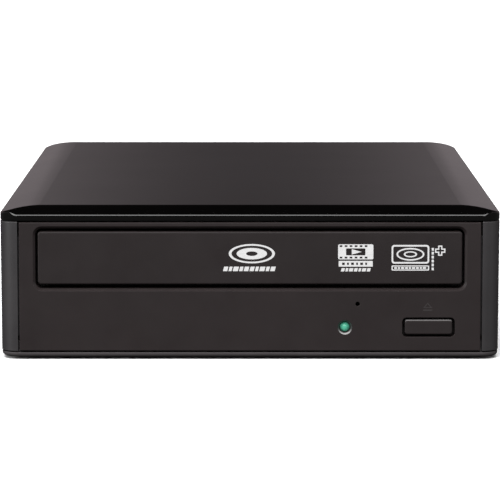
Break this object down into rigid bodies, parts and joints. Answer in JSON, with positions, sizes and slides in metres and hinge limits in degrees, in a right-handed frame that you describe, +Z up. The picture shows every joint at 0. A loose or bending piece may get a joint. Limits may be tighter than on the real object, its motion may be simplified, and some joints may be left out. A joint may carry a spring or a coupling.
{
  "type": "external optical drive",
  "caption": "Black desktop external optical drive with a glossy lid, a sliding disc tray, an eject button and a status lamp.",
  "frame": {"origin": "on the floor under the middle of the case", "axes": "front panel faces -Y, +X to the right seen from the front, +Z up"},
  "size_m": [0.165, 0.241, 0.051],
  "materials": {
    "lid_gloss": "high gloss, black",
    "side_plastic": "fine texture, charcoal",
    "front_plastic": "satin, near black",
    "door_plastic": "satin, near black",
    "base_plastic": "fine texture, charcoal",
    "foot_rubber": "soft, matt",
    "zinc_steel": "zinc-plated sheet",
    "screw_steel": "dark zinc",
    "tray_plastic": "fine texture, dark grey",
    "chassis_plastic": "moulded, black",
    "gear_plastic": "acetal, off-white",
    "board_green": "solder mask over glass epoxy",
    "chip_black": "moulded resin",
    "connector_black": "moulded, black",
    "port_shell": "bright plated",
    "led_green": "tinted clear resin",
    "belt_rubber": "smooth",
    "grommet_rubber": "soft",
    "rod_steel": "ground and polished",
    "lens_glass": "coated",
    "puck_plastic": "moulded",
    "magnet_steel": "sintered",
    "cap_can": "printed sleeve"
  },
  "bodies": {
    "case": {"base_pan": "base_plastic", "rubber_feet": "foot_rubber", "case_screws": "screw_steel", "right_side_panel": "side_plastic", "left_side_panel": "side_plastic", "top_cover": "lid_gloss", "front_panel": "front_plastic", "rear_panel": "side_plastic", "drive_board": "board_green", "drive_board_screws": "screw_steel", "drive_chips": "chip_black", "tact_switch": "connector_black", "status_led": "led_green", "drive_socket": "connector_black", "drive_bottom_cover": "zinc_steel", "drive_top_cover": "zinc_steel", "right_bracket": "zinc_steel", "left_bracket": "zinc_steel", "drive_screws": "screw_steel", "loader_chassis": "chassis_plastic", "loading_motor": "zinc_steel", "drive_belt": "belt_rubber", "clamp_bridge": "zinc_steel", "bridge_board": "board_green", "board_screws": "screw_steel", "bridge_chips": "chip_black", "board_capacitors": "cap_can", "board_plug": "connector_black", "usb_port": "port_shell", "dc_jack": "connector_black", "power_switch": "connector_black"},
    "tray": {"disc_tray": "tray_plastic", "tray_door": "door_plastic"},
    "button": {"eject_button": "front_plastic"},
    "rocker": {"power_rocker": "connector_black"},
    "traverse": {"traverse_frame": "chassis_plastic", "pickup_chassis": "zinc_steel", "damper_grommets": "grommet_rubber", "damper_screws": "screw_steel", "spindle_motor": "zinc_steel", "guide_rods": "rod_steel", "sled_motor": "zinc_steel"},
    "spindle": {"turntable": "puck_plastic"},
    "sled": {"pickup_sled": "magnet_steel", "objective_lens": "lens_glass"},
    "screw": {"lead_screw": "rod_steel"},
    "slider": {"cam_slider": "gear_plastic"},
    "clamp": {"clamp_puck": "puck_plastic", "clamp_magnet": "magnet_steel"},
    "tray_train": {"tray_gear": "gear_plastic"},
    "belt_train": {"belt_gear": "gear_plastic"},
    "pulley": {"motor_pulley": "gear_plastic"}
  },
  "joints": [
    {"name": "tray_slide", "type": "slide", "parent": "case", "child": "tray", "axis": [0, -1, 0], "range_m": [0, 0.14]},
    {"name": "eject_press", "type": "slide", "parent": "case", "child": "button", "axis": [0, 1, 0], "range_m": [0, 0.0009], "stiffness_N_per_m": 400, "springref_m": -0.001},
    {"name": "power_toggle", "type": "hinge", "parent": "case", "child": "rocker", "pos_m": [-0.036, 0.1155, 0.0195], "axis": [1, 0, 0], "range_deg": [-12, 0]},
    {"name": "traverse_lift", "type": "hinge", "parent": "case", "child": "traverse", "pos_m": [0, 0.027, 0.024], "axis": [1, 0, 0], "range_deg": [0, 4.4]},
    {"name": "cam_slide", "type": "slide", "parent": "case", "child": "slider", "axis": [1, 0, 0], "range_m": [0, 0.0202]},
    {"name": "turntable_spin", "type": "hinge", "parent": "traverse", "child": "spindle", "pos_m": [0, -0.051, 0.03], "axis": [0, 0, 1], "continuous": true},
    {"name": "sled_slide", "type": "slide", "parent": "traverse", "child": "sled", "axis": [0, 1, 0], "range_m": [0, 0.033]},
    {"name": "screw_spin", "type": "hinge", "parent": "traverse", "child": "screw", "pos_m": [0.0363, 0, 0.0214], "axis": [0, 1, 0], "continuous": true},
    {"name": "clamp_spin", "type": "hinge", "parent": "case", "child": "clamp", "pos_m": [0, -0.051, 0.042], "axis": [0, 0, 1], "continuous": true},
    {"name": "tray_gear_spin", "type": "hinge", "parent": "case", "child": "tray_train", "pos_m": [-0.0474, -0.096, 0.025], "axis": [0, 0, 1], "continuous": true},
    {"name": "belt_gear_spin", "type": "hinge", "parent": "case", "child": "belt_train", "pos_m": [-0.0313, -0.096, 0.02], "axis": [0, 0, 1], "continuous": true},
    {"name": "pulley_spin", "type": "hinge", "parent": "case", "child": "pulley", "pos_m": [0.012, -0.096, 0.0185], "axis": [0, 0, 1], "continuous": true}
  ],
  "couplings": [
    {"joint": "cam_slide", "follows": "traverse_lift", "m_per_rad": 0.26044},
    {"joint": "screw_spin", "follows": "sled_slide", "rad_per_m": 2094.4},
    {"joint": "tray_gear_spin", "follows": "tray_slide", "rad_per_m": 111.11},
    {"joint": "belt_gear_spin", "follows": "tray_slide", "rad_per_m": -253.97},
    {"joint": "pulley_spin", "follows": "tray_slide", "rad_per_m": -755.31}
  ]
}
